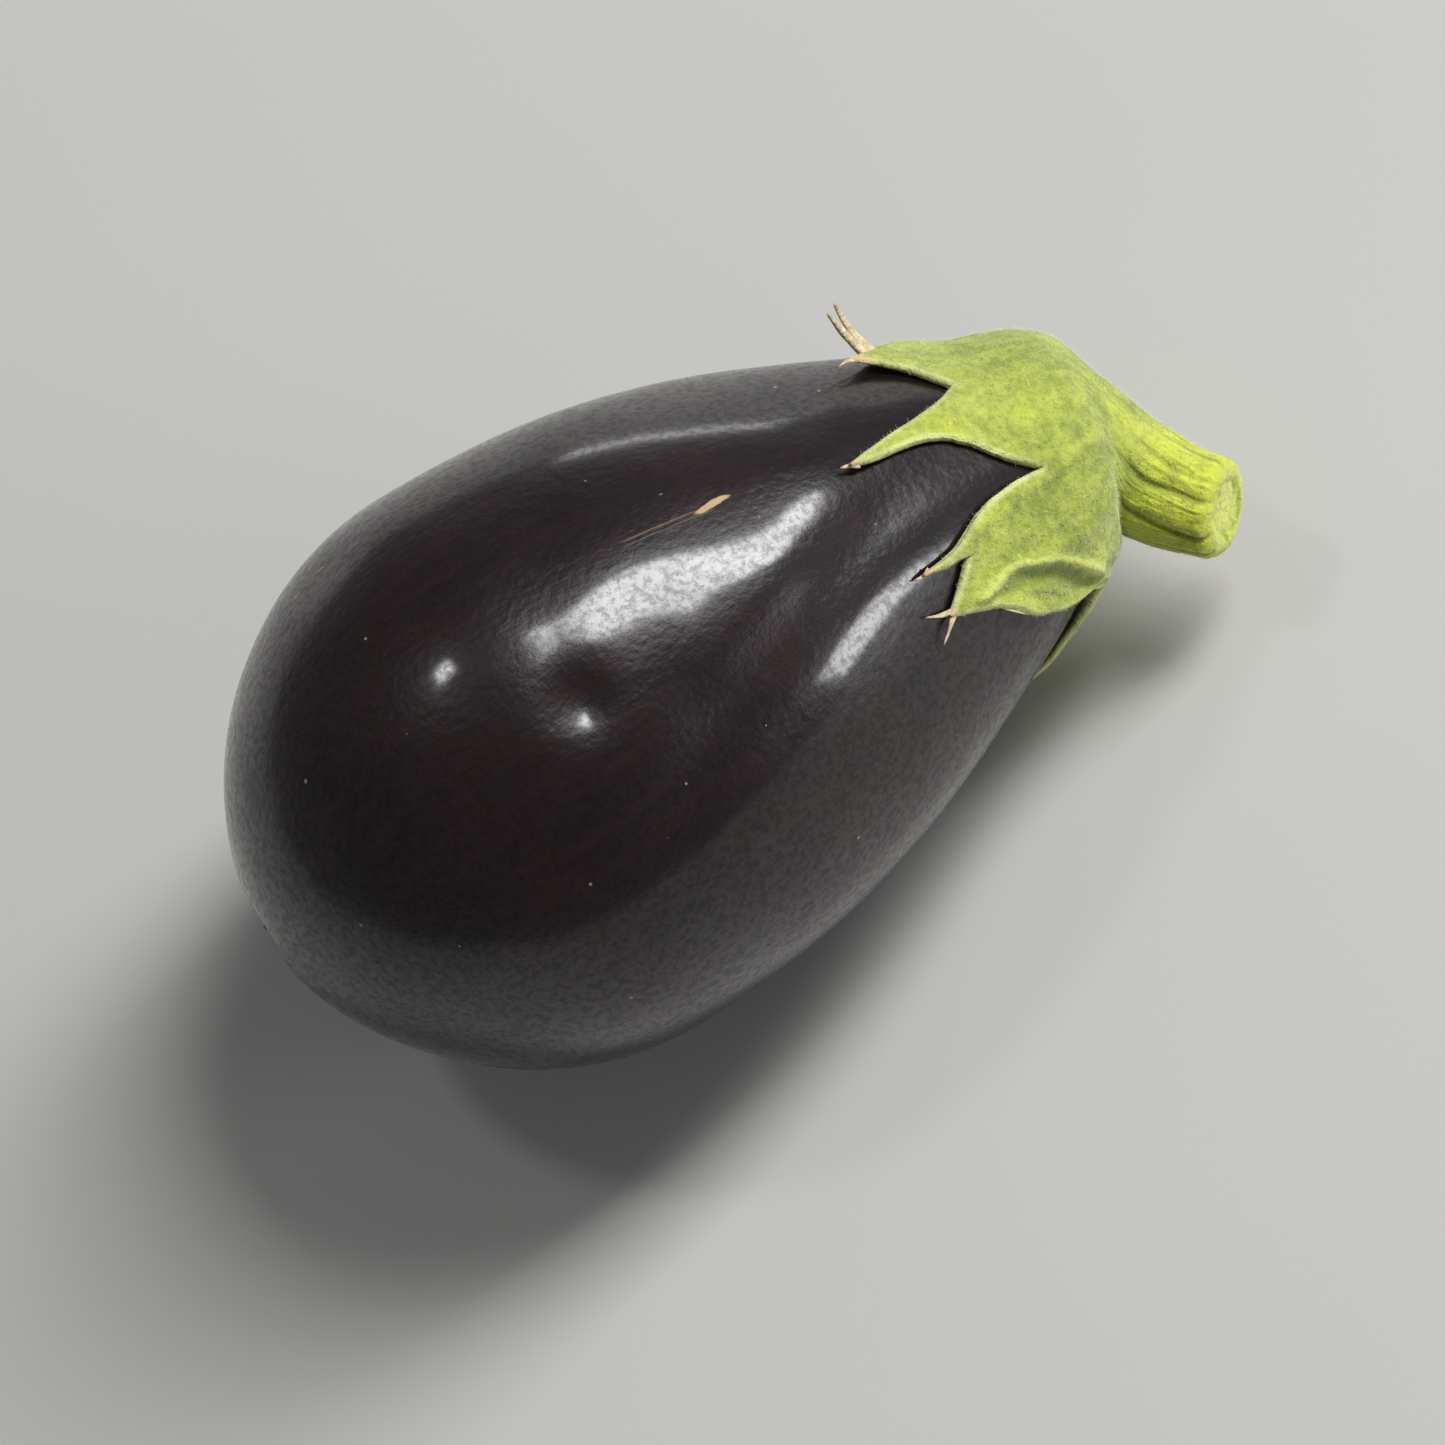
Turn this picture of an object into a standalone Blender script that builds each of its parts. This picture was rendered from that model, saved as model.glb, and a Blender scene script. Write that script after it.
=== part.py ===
"""An eggplant as picked, lying on its side on the small flat spot that its own weight presses into the skin.

Three pieces: the fruit, the five-lobed calyx that caps its neck, and the bent stump of its stem.
The origin is the middle of the flat spot, +X runs along the fruit towards the stem and +Z is up.
Everything is first drawn about the fruit's own axis, with x measured from the blossom end,
and is then tipped so that the slim neck dips towards the surface.
"""
import math

import bmesh
import bpy
import numpy as np
from mathutils import Matrix, Vector

for leftover in list(bpy.data.objects):
    bpy.data.objects.remove(leftover, do_unlink=True)

# Fruit: its turned outline as three cubic curves of (station, radius) corners, in metres, where a
# station lies along the axis from the blossom end. The curves meet at the neck and at the belly.
FRUIT_LENGTH = 0.153
NECK = (0.118, 0.0316)
BELLY = (0.051, 0.0478)
CROWN_CURVE = ((FRUIT_LENGTH, 0), (0.154, 0.0150), (0.1425, 0.0200), NECK)
NECK_CURVE = (NECK, (0.097, 0.0410), (0.080, 0.0478), BELLY)
NOSE_CURVE = (BELLY, (0.022, 0.0478), (0, 0.0220), (0, 0))
CURVE_STEPS = 80
FLUTES = 4                   # broad shallow furrows that run down from the neck
FLUTE_DEPTH = 0.0006
FLUTE_ANGLE = math.radians(22)
FLUTE_STATIONS = (0.055, 0.105, 0.135, FRUIT_LENGTH)
FLUTE_STRENGTHS = (0, 1, 1, 0)
FRUIT_RINGS = 34
FRUIT_COLUMNS = 48

# Rest: how far the neck dips, and how deep the resting spot is pressed flat
DIP = math.radians(9.5)
FLAT_DEPTH = 0.0006

# Calyx: its edge runs from notch to lobe tip to notch round the crown. Each point is a direction round
# the axis in degrees, 0 at the top of the fruit and growing towards -Y, and a distance over the skin
# from the middle of the crown. The broad second lobe has a split tip, with a shallow notch in it.
CALYX_EDGE = (
    (-14, 0.033), (8, 0.059), (34, 0.031),
    (41, 0.058), (45, 0.050), (54, 0.060), (80, 0.041), (106, 0.026),
    (142, 0.054), (173, 0.029),
    (208, 0.056), (246, 0.030),
    (306, 0.048),
)
EDGE_COLUMNS = 5             # from each of these points to the next
LOBE_TAPER = 1.3             # above 1 the lobe's edges curve in towards the tip
COLLAR_REACH = 0.0160        # where the flare of the stem meets the cap
COLLAR_SHIFT = 0.0045        # and how much further out it meets it on the side the stem leans to
LEAN_ANGLE = math.radians(100)
COLLAR_LIFT = 0.0038         # the cap's outer face above the skin, at the collar
LOBE_LIFT = 0.0018           # and out along the lobes
CAP_ROWS = 11
FLARE_ROWS = 4
FLARE_PULL = 0.003           # how far the flare follows the stem before it turns into the collar
GAP = 0.0005                 # clearance between neighbouring pieces

# Stem: its middle line runs as one curve from inside the crown to the cut end (fruit axis frame)
STEM_ROOT = Vector((0.1500, -0.0005, 0.0))
STEM_ROOT_HANDLE = Vector((0.1552, -0.0072, -0.0016))
STEM_END_HANDLE = Vector((0.1573, -0.0157, -0.0044))
STEM_END = Vector((0.1638, -0.0250, -0.0058))
STEM_PARTING = 0.62          # where along that curve the stem leaves the calyx
STEM_FOOT_RADIUS = 0.0084
STEM_END_RADIUS = 0.0072
STEM_RIBS = 9
STEM_RIB_DEPTH = 0.0004
STEM_ROWS = 8
CUT_BEVEL = 0.0010

SKIN_STEP = 0.0002           # how far apart two points are taken to find the slope of the skin
CURVE_STEP = 0.01            # and the heading of the stem
SHARP_ANGLE = math.radians(40)


def cubic(corners, t):
    """The point at t, from 0 to 1, on the cubic curve with these four corners."""
    a, b, c, d = (np.array(corner, float) for corner in corners)
    return (1 - t) ** 3 * a + 3 * (1 - t) ** 2 * t * b + 3 * (1 - t) * t ** 2 * c + t ** 3 * d


def half_outline():
    """The turned outline from the crown to the blossom end: distance over the skin, station, radius."""
    steps = np.linspace(0, 1, CURVE_STEPS, endpoint=False)
    points = np.array([cubic(curve, t) for curve in (CROWN_CURVE, NECK_CURVE, NOSE_CURVE) for t in steps])
    points = np.vstack((points, NOSE_CURVE[-1]))
    lengths = np.hypot(*np.diff(points, axis=0).T)
    return np.concatenate(([0], np.cumsum(lengths))), points[:, 0], points[:, 1]


REACH, STATION, RADIUS = half_outline()


def flute(station, angle):
    """How far the furrows raise or sink the skin; they fade out over the belly."""
    fade = np.interp(station, FLUTE_STATIONS, FLUTE_STRENGTHS)
    return FLUTE_DEPTH * fade * math.cos(FLUTES * (angle - FLUTE_ANGLE))


def skin_point(reach, angle, lift=0.0):
    """A point at this distance over the skin from the crown and this direction round the axis."""
    near, far = max(reach - SKIN_STEP, 0), reach + SKIN_STEP
    along = np.interp(far, REACH, STATION) - np.interp(near, REACH, STATION)
    out = np.interp(far, REACH, RADIUS) - np.interp(near, REACH, RADIUS)
    size = math.hypot(along, out)
    station = np.interp(reach, REACH, STATION)
    radius = np.interp(reach, REACH, RADIUS) + flute(station, angle)
    radius += lift * -along / size
    station += lift * out / size
    return Vector((station, -radius * math.sin(angle), radius * math.cos(angle)))


def rest_placement():
    """Tips the neck down by the dip, and sets the lowest point of the belly just below the origin."""
    between = np.flatnonzero((STATION > NECK[0] * 0.5) & (STATION < NECK[0]))
    lowest = max(between, key=lambda i: RADIUS[i] * math.cos(DIP) + STATION[i] * math.sin(DIP))
    touch = Vector((STATION[lowest], 0, -RADIUS[lowest]))
    return Matrix.Translation((0, 0, -FLAT_DEPTH)) @ Matrix.Rotation(DIP, 4, "Y") @ Matrix.Translation(-touch)


AT_REST = rest_placement()


def material(name, colour, roughness):
    made = bpy.data.materials.new(name)
    made.use_nodes = True
    shader = made.node_tree.nodes["Principled BSDF"]
    shader.inputs["Base Color"].default_value = (*colour, 1)
    shader.inputs["Roughness"].default_value = roughness
    shader.inputs["Metallic"].default_value = 0.0
    return made


def add_object(name, mesh_data, surface):
    """Turns a finished bmesh into a named object at rest, smooth but for its sharp edges."""
    bmesh.ops.recalc_face_normals(mesh_data, faces=mesh_data.faces)
    mesh = bpy.data.meshes.new(name)
    mesh_data.to_mesh(mesh)
    mesh_data.free()
    mesh.shade_smooth()
    mesh.set_sharp_from_angle(angle=SHARP_ANGLE)
    mesh.materials.append(surface)
    piece = bpy.data.objects.new(name, mesh)
    bpy.context.scene.collection.objects.link(piece)
    return piece


def add_ring(mesh_data, points):
    return [mesh_data.verts.new(point) for point in points]


def join_rings(mesh_data, first, second):
    """A closed band of four-sided faces between two rings of the same count."""
    for here, after in zip(range(len(first)), [*range(1, len(first)), 0]):
        mesh_data.faces.new((first[here], first[after], second[after], second[here]))


def close_ring(mesh_data, ring, middle):
    """A fan from the ring to a point in its middle."""
    hub = mesh_data.verts.new(middle)
    for here, after in zip(ring, ring[1:] + ring[:1]):
        mesh_data.faces.new((here, after, hub))


def build_fruit():
    """The whole fruit in one skin, with the resting spot cut flat."""
    mesh_data = bmesh.new()
    angles = [2 * math.pi * column / FRUIT_COLUMNS for column in range(FRUIT_COLUMNS)]
    rings = []
    for row in range(1, FRUIT_RINGS + 1):
        reach = REACH[-1] * row / (FRUIT_RINGS + 1)
        rings.append(add_ring(mesh_data, [AT_REST @ skin_point(reach, angle) for angle in angles]))
    for first, second in zip(rings, rings[1:]):
        join_rings(mesh_data, first, second)
    close_ring(mesh_data, rings[0], AT_REST @ skin_point(0, 0))
    close_ring(mesh_data, rings[-1], AT_REST @ skin_point(REACH[-1], 0))
    everything = [*mesh_data.verts, *mesh_data.edges, *mesh_data.faces]
    cut = bmesh.ops.bisect_plane(mesh_data, geom=everything, plane_co=(0, 0, 0), plane_no=(0, 0, 1),
                                 clear_inner=True)
    rim = [part for part in cut["geom_cut"] if isinstance(part, bmesh.types.BMEdge)]
    bmesh.ops.contextual_create(mesh_data, geom=rim)
    return add_object("fruit", mesh_data, material("eggplant_skin", (0.016, 0.006, 0.014), 0.16))


def calyx_columns():
    """The direction and edge reach of every column round the crown."""
    columns = []
    for index, (direction, reach) in enumerate(CALYX_EDGE):
        after, reach_after = CALYX_EDGE[(index + 1) % len(CALYX_EDGE)]
        turn = (after - direction) % 360
        for step in range(EDGE_COLUMNS):
            share = step / EDGE_COLUMNS
            curved = share ** LOBE_TAPER if reach_after > reach else 1 - (1 - share) ** LOBE_TAPER
            columns.append((math.radians(direction + turn * share), reach + (reach_after - reach) * curved))
    return columns


def stem_ring(t, radius, angles):
    """One ring of the ribbed stem, square to its middle line at t."""
    corners = (STEM_ROOT, STEM_ROOT_HANDLE, STEM_END_HANDLE, STEM_END)
    middle = Vector(cubic(corners, t))
    ahead, behind = (Vector(cubic(corners, t + step)) for step in (CURVE_STEP, -CURVE_STEP))
    heading = (ahead - behind).normalized()
    turn = Vector((1, 0, 0)).rotation_difference(heading)
    ring = []
    for angle in angles:
        ribbed = radius + STEM_RIB_DEPTH * math.cos(STEM_RIBS * angle)
        ring.append(middle + turn @ Vector((0, -ribbed * math.sin(angle), ribbed * math.cos(angle))))
    return ring, middle, heading


def build_calyx():
    """The cap: a flare under the stem, a collar, five lobes lying on the skin, and the hollow underside."""
    mesh_data = bmesh.new()
    columns = calyx_columns()
    angles = [angle for angle, _ in columns]
    starts = [COLLAR_REACH + COLLAR_SHIFT * math.cos(angle - LEAN_ANGLE) for angle in angles]
    top, middle, heading = stem_ring(STEM_PARTING, STEM_FOOT_RADIUS, angles)
    top = [point - heading * GAP for point in top]
    rings = [add_ring(mesh_data, [AT_REST @ point for point in top])]
    close_ring(mesh_data, rings[0], AT_REST @ (middle - heading * GAP))
    collar = [skin_point(start, angle, COLLAR_LIFT) for start, angle in zip(starts, angles)]
    slope = [skin_point(start - FLARE_PULL, angle, COLLAR_LIFT) for start, angle in zip(starts, angles)]
    for row in range(1, FLARE_ROWS):
        flare = [cubic((high, high - heading * FLARE_PULL, inner, low), row / FLARE_ROWS)
                 for high, inner, low in zip(top, slope, collar)]
        rings.append(add_ring(mesh_data, [AT_REST @ Vector(point) for point in flare]))
    for row in range(CAP_ROWS + 1):
        share = row / CAP_ROWS
        lift = COLLAR_LIFT + (LOBE_LIFT - COLLAR_LIFT) * share ** 0.5
        rings.append(add_ring(mesh_data, [
            AT_REST @ skin_point(start + (edge - start) * share, angle, lift)
            for start, (angle, edge) in zip(starts, columns)]))
    for row in range(CAP_ROWS, 0, -1):
        rings.append(add_ring(mesh_data, [
            AT_REST @ skin_point(edge * row / CAP_ROWS, angle, GAP) for angle, edge in columns]))
    for first, second in zip(rings, rings[1:]):
        join_rings(mesh_data, first, second)
    close_ring(mesh_data, rings[-1], AT_REST @ skin_point(0, 0, GAP))
    return add_object("calyx", mesh_data, material("calyx_green", (0.42, 0.50, 0.12), 0.75))


def build_stem():
    """The ribbed stump, from its flat foot on the calyx to the cut end with a softened rim."""
    mesh_data = bmesh.new()
    count = STEM_RIBS * 4
    angles = [2 * math.pi * column / count for column in range(count)]
    rings = []
    for row in range(STEM_ROWS + 1):
        share = row / STEM_ROWS
        radius = STEM_FOOT_RADIUS + (STEM_END_RADIUS - STEM_FOOT_RADIUS) * share
        ring, middle, heading = stem_ring(STEM_PARTING + (1 - STEM_PARTING) * share, radius, angles)
        rings.append(add_ring(mesh_data, [AT_REST @ point for point in ring]))
        if row == 0:
            foot = middle
    ring, middle, heading = stem_ring(1, STEM_END_RADIUS - CUT_BEVEL, angles)
    rings.append(add_ring(mesh_data, [AT_REST @ (point + heading * CUT_BEVEL) for point in ring]))
    for first, second in zip(rings, rings[1:]):
        join_rings(mesh_data, first, second)
    close_ring(mesh_data, rings[0], AT_REST @ foot)
    close_ring(mesh_data, rings[-1], AT_REST @ (middle + heading * CUT_BEVEL))
    return add_object("stem", mesh_data, material("stem_green", (0.40, 0.47, 0.13), 0.8))


build_fruit()
build_calyx()
build_stem()
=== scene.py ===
"""An eggplant as picked, lying on its side: the fruit and its blossom scar, the calyx and the bent stem."""
import math

import bmesh
import bpy
import numpy as np
from mathutils import Matrix, Vector, noise
from mathutils.kdtree import KDTree


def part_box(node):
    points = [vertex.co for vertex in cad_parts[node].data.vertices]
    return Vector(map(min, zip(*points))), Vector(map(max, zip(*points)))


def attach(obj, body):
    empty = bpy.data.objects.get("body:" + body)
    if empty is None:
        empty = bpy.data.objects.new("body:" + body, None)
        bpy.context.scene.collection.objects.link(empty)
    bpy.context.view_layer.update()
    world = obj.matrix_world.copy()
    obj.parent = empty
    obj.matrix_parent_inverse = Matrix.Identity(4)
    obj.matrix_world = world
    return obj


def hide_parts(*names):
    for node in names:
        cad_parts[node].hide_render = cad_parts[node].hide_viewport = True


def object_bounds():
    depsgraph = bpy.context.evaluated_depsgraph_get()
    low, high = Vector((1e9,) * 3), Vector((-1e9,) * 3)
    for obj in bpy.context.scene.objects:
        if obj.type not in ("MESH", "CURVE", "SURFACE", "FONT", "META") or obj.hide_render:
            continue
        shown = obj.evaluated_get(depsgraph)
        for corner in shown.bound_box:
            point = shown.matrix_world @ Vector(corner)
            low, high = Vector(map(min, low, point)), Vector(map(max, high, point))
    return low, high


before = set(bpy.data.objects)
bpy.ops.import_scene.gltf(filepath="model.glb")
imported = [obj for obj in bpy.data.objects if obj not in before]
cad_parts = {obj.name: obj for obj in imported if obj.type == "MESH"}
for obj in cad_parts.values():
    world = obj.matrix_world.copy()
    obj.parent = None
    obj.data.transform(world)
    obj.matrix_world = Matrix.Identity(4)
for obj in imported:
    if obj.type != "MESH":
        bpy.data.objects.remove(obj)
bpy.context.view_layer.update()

# ---- The fruit ---------------------------------------------------------------------------------------
# One berry with a taut, waxy, almost black purple skin over spongy flesh. It is a turned outline with
# shallow furrows down from the neck, and its own weight presses the resting spot flat.
# The outline is three cubic curves of (station, radius) corners, stations from the blossom end.
FRUIT_LENGTH = 0.153
NECK = (0.118, 0.0316)
BELLY = (0.051, 0.0478)
CROWN_CURVE = ((FRUIT_LENGTH, 0), (0.154, 0.0150), (0.1425, 0.0200), NECK)
NECK_CURVE = (NECK, (0.097, 0.0410), (0.080, 0.0478), BELLY)
NOSE_CURVE = (BELLY, (0.022, 0.0478), (0, 0.0220), (0, 0))
DIP = math.radians(9.5)
# The blossom scar's dimple is a little off the axis: how far, which way, how wide and how deep.
DIMPLE_SHIFT, DIMPLE_TURN, DIMPLE_WIDTH, DIMPLE_DEPTH = 0.0038, math.radians(215), 0.0046, 0.0016
# Four flutes run round the neck: how deep and which way round, and their share of it at these stations.
FLUTE_DEPTH, FLUTE_TURN = 0.0006, math.radians(22)
FLUTE_STATIONS, FLUTE_SHARES = (0.055, 0.105, 0.135, FRUIT_LENGTH), (0, 1, 1, 0)
# One slanted furrow runs down from the neck: its depth and half width, a station and a direction that it
# passes through, how far it turns to the metre, and the stations between which each end fades in.
FURROW_DEPTH, FURROW_WIDTH = 0.0009, 0.0055
FURROW_STATION, FURROW_TURN, FURROW_SLANT = 0.141, math.radians(7), math.radians(31.6) / 0.067
FURROW_FOOT, FURROW_HEAD = (0.045, 0.075), (0.150, 0.130)
# Dents, and swells where the depth is negative: station, degrees round, width and depth.
DENTS = ((0.068, 33, 0.006, 0.0004), (0.075, 17, 0.004, 0.0002), (0.060, 250, 0.009, 0.0005),
         (0.102, 140, 0.007, 0.0004), (0.035, -40, 0.008, 0.0004), (0.053, 24, 0.0048, 0.0013),
         (0.068, 3, 0.008, -0.00045), (0.088, 25, 0.008, -0.00045), (0.103, 2, 0.007, -0.00040),
         (0.044, 2, 0.009, -0.00030))
# Slow waves over the whole skin: height and length.
WAVES = ((0.0003, 0.030), (0.00006, 0.010))
# Where the skin meets the surface that it rests on, it turns flat over about this height.
FLATTENING = 0.0002
FRUIT_ROWS, FRUIT_COLUMNS = 250, 288


def cubic(corners, t):
    """Points on the cubic curve with these four corners; t is a number or a column of them."""
    a, b, c, d = (np.asarray(corner, float) for corner in corners)
    return (1 - t) ** 3 * a + 3 * (1 - t) ** 2 * t * b + 3 * (1 - t) * t ** 2 * c + t ** 3 * d


def fade(values, low, high):
    """0 below low and 1 above high, with a smooth turn between; low may be the larger one."""
    share = np.clip((values - low) / (high - low), 0, 1)
    return share * share * (3 - 2 * share)


def ripple(points, wavelength, layer=0):
    """Smooth uneven waves of about this length, from -1 to 1, another pattern for each layer."""
    offset = Vector((17.3, 5.1, 9.7)) * (layer + 1)
    return np.array([noise.noise(Vector(point) / wavelength + offset) for point in points])


outline = np.vstack([cubic(curve, np.linspace(0, 1, 121)[:-1, None])
                     for curve in (CROWN_CURVE, NECK_CURVE, NOSE_CURVE)] + [(0, 0)])
steps = np.diff(outline, axis=0)
REACH = np.concatenate(([0], np.cumsum(np.hypot(*steps.T))))
slopes = np.gradient(outline, REACH, axis=0)


def relief(station, radius, angle):
    """How far the real skin stands off the turned outline."""
    flutes = FLUTE_DEPTH * np.interp(station, FLUTE_STATIONS, FLUTE_SHARES)
    height = flutes * np.cos(4 * (angle - FLUTE_TURN))
    middle = FURROW_TURN + (FURROW_STATION - station) * FURROW_SLANT
    across = (np.remainder(angle - middle + math.pi, 2 * math.pi) - math.pi) * radius
    furrow = fade(station, *FURROW_FOOT) * fade(station, *FURROW_HEAD)
    height = height - FURROW_DEPTH * furrow * np.exp(-(across / FURROW_WIDTH) ** 2)
    for at, turn, size, depth in DENTS:
        aside = (np.remainder(angle - math.radians(turn) + math.pi, 2 * math.pi) - math.pi) * radius
        height = height - depth * np.exp(-((station - at) ** 2 + aside ** 2) / size ** 2)
    from_dimple = np.hypot(radius * np.cos(angle) - DIMPLE_SHIFT * math.cos(DIMPLE_TURN),
                           radius * np.sin(angle) - DIMPLE_SHIFT * math.sin(DIMPLE_TURN))
    return height - DIMPLE_DEPTH * np.exp(-(from_dimple / DIMPLE_WIDTH) ** 2) * (station < 0.02)


def skin(reach, angle, lift=0.0):
    """Points at these distances over the skin from the crown and directions round the axis."""
    reach, angle, lift = np.broadcast_arrays(reach, angle, lift)
    station, radius = (np.interp(reach, REACH, outline[:, part]) for part in (0, 1))
    along, out = (np.interp(reach, REACH, slopes[:, part]) for part in (0, 1))
    size = np.hypot(along, out)
    height = lift + relief(station, radius, angle)
    station = station + height * out / size
    radius = radius - height * along / size
    flat = np.stack([station, -radius * np.sin(angle), radius * np.cos(angle)], -1)
    swell = sum(rise * ripple(flat.reshape(-1, 3), wavelength, layer)
                for layer, (rise, wavelength) in enumerate(WAVES))
    push = np.stack([out, along * np.sin(angle), -along * np.cos(angle)], -1) / size[..., None]
    return flat + push * swell.reshape(flat.shape[:-1])[..., None]


fruit_low, fruit_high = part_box("fruit")
tilt = np.array(Matrix.Rotation(DIP, 3, "Y"))
turns = np.linspace(0, 2 * math.pi, 361)
plain = np.stack([np.repeat(outline[:, 0], 361), np.outer(outline[:, 1], -np.sin(turns)).ravel(),
                  np.outer(outline[:, 1], np.cos(turns)).ravel()], -1) @ tilt.T
shift = np.array([fruit_low.x - plain[:, 0].min(), 0, fruit_high.z - plain[:, 2].max()])


def at_rest(points):
    """Takes points from the fruit's own axis to where the frame holds it."""
    return np.asarray(points) @ tilt.T + shift


def add_piece(name, vertices, faces):
    mesh = bpy.data.meshes.new(name)
    mesh.from_pydata(np.asarray(vertices).tolist(), [], faces)
    mesh.shade_smooth()
    piece = bpy.data.objects.new(name, mesh)
    bpy.context.scene.collection.objects.link(piece)
    return piece


def band(first, second):
    """Four-sided faces between two closed rows of vertex numbers."""
    return [(a, b, c, d) for a, b, c, d in zip(first, np.roll(first, -1), np.roll(second, -1), second)]


def mark(piece, name, values):
    """Gives every vertex a number that the piece's material reads by this name."""
    layer = piece.data.attributes.new(name, "FLOAT", "POINT")
    layer.data.foreach_set("value", np.asarray(values, np.float32))


reaches = REACH[-1] * np.arange(1, FRUIT_ROWS) / FRUIT_ROWS
angles = 2 * math.pi * np.arange(FRUIT_COLUMNS) / FRUIT_COLUMNS
rows = skin(reaches[:, None], angles[None, :])
poles = skin(np.array([0, REACH[-1]]), np.zeros(2))
own = np.vstack([rows.reshape(-1, 3), poles])
vertices = at_rest(own)
vertices[:, 2] = (vertices[:, 2] + np.hypot(vertices[:, 2], FLATTENING)) / 2
numbers = np.arange(rows.shape[0] * FRUIT_COLUMNS).reshape(rows.shape[:2])
faces = []
for first, second in zip(numbers.tolist(), numbers[1:].tolist()):
    faces += band(first, second)
crown_pole, nose_pole = numbers.size, numbers.size + 1
faces += [(a, crown_pole, b) for a, b in zip(numbers[0].tolist(), np.roll(numbers[0], -1).tolist())]
faces += [(b, nose_pole, a) for a, b in zip(numbers[-1].tolist(), np.roll(numbers[-1], -1).tolist())]
fruit = add_piece("fruit_skin", vertices, [tuple(reversed(face)) for face in faces])
# A healed scratch lies at this station and direction; its material reads millimetres from it.
SCRATCH_STATION, SCRATCH_TURN = 0.0868, math.radians(2.8)
own_angle = np.arctan2(-own[:, 1], own[:, 2])
mark(fruit, "scratch_along", (own[:, 0] - SCRATCH_STATION) * 1000)
mark(fruit, "scratch_across", (own_angle - SCRATCH_TURN) * np.hypot(own[:, 1], own[:, 2]) * 1000)


class Link:
    """A socket in a material's node tree. Arithmetic on it adds Math nodes."""

    def __init__(self, surface, socket):
        self.surface, self.socket = surface, socket

    def math(self, operation, first, second):
        return self.surface.node("ShaderNodeMath", {"operation": operation}, {0: first, 1: second})

    def __add__(self, other):
        return self.math("ADD", self, other)

    def __sub__(self, other):
        return self.math("SUBTRACT", self, other)

    def __rsub__(self, other):
        return self.math("SUBTRACT", other, self)

    def __mul__(self, other):
        return self.math("MULTIPLY", self, other)

    def __truediv__(self, other):
        return self.math("DIVIDE", self, other)

    def __rtruediv__(self, other):
        return self.math("DIVIDE", other, self)

    __radd__, __rmul__ = __add__, __mul__


class Surface:
    """A material under construction: a Principled BSDF with its constants, and the nodes that feed it."""

    def __init__(self, name, constants):
        self.material = bpy.data.materials.new(name)
        self.material.use_nodes = True
        self.tree = self.material.node_tree
        self.shader = self.tree.nodes["Principled BSDF"]
        self.feed(self.shader, constants)

    def feed(self, node, inputs):
        """Sets a node's inputs: a link is joined to its socket, anything else is its value."""
        for name, value in inputs.items():
            if isinstance(value, Link):
                self.tree.links.new(value.socket, node.inputs[name])
            else:
                node.inputs[name].default_value = value

    def node(self, kind, settings=None, inputs=None, output=0):
        """Adds a node of this kind: its settings come first, then its inputs."""
        made = self.tree.nodes.new(kind)
        for name, value in (settings or {}).items():
            setattr(made, name, value)
        self.feed(made, inputs or {})
        return Link(self, made.outputs[output])

    def place(self, stretch=(1, 1, 1)):
        """The point in metres, squeezed along each axis by these factors."""
        where = self.node("ShaderNodeTexCoord", output="Object")
        return self.node("ShaderNodeVectorMath", {"operation": "MULTIPLY"}, {0: where, 1: stretch})

    def noise(self, scale, detail=2.0, roughness=0.5, stretch=(1, 1, 1)):
        """Soft noise around a half, this many features to the metre."""
        return self.node("ShaderNodeTexNoise", {}, {
            "Vector": self.place(stretch), "Scale": scale, "Detail": detail, "Roughness": roughness}, "Fac")

    def reading(self, name):
        """What mark() gave the piece under this name."""
        return self.node("ShaderNodeAttribute", {"attribute_name": name}, output="Fac")

    def between(self, value, low, high, to_low=0.0, to_high=1.0):
        """Maps low..high smoothly to to_low..to_high, and holds beyond them."""
        return self.node("ShaderNodeMapRange", {"interpolation_type": "SMOOTHSTEP"}, {
            "Value": value, "From Min": low, "From Max": high, "To Min": to_low, "To Max": to_high})

    def blend(self, share, first, second):
        """A colour between first and second; each is a colour or a link to one."""
        first, second = ((*tint, 1) if isinstance(tint, tuple) else tint for tint in (first, second))
        return self.node("ShaderNodeMix", {"data_type": "RGBA"}, {0: share, 6: first, 7: second}, 2)

    def bump(self, height, depth, under=None):
        """A bent normal: height runs over this depth in metres, on top of another bump if one is given."""
        inputs = {"Height": height, "Distance": depth, "Strength": 1.0}
        if under:
            inputs["Normal"] = under
        return self.node("ShaderNodeBump", {}, inputs)


peel = Surface("eggplant_skin", {"IOR": 1.45, "Specular IOR Level": 0.3,
                                 "Coat Roughness": 0.13, "Coat IOR": 1.5})
clouds = peel.between(peel.noise(22, 3), 0.35, 0.7)
streaks = peel.between(peel.noise(1, 4, 0.6, (25, 260, 260)), 0.35, 0.75)
colour = peel.blend(clouds, (0.0042, 0.0024, 0.0027), (0.0100, 0.0040, 0.0045))
colour = peel.blend(streaks * 0.45, colour, (0.024, 0.0065, 0.0085))
pores = peel.noise(800, 2, 0.5) + peel.noise(1, 2, 0.5, (220, 1000, 1000)) * 0.6 + peel.noise(330, 1) * 0.8
weather = peel.noise(60, 4, 0.6)
rub = peel.between(peel.noise(1, 3, 0.7, (120, 1500, 1500)), 0.62, 0.72)

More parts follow.
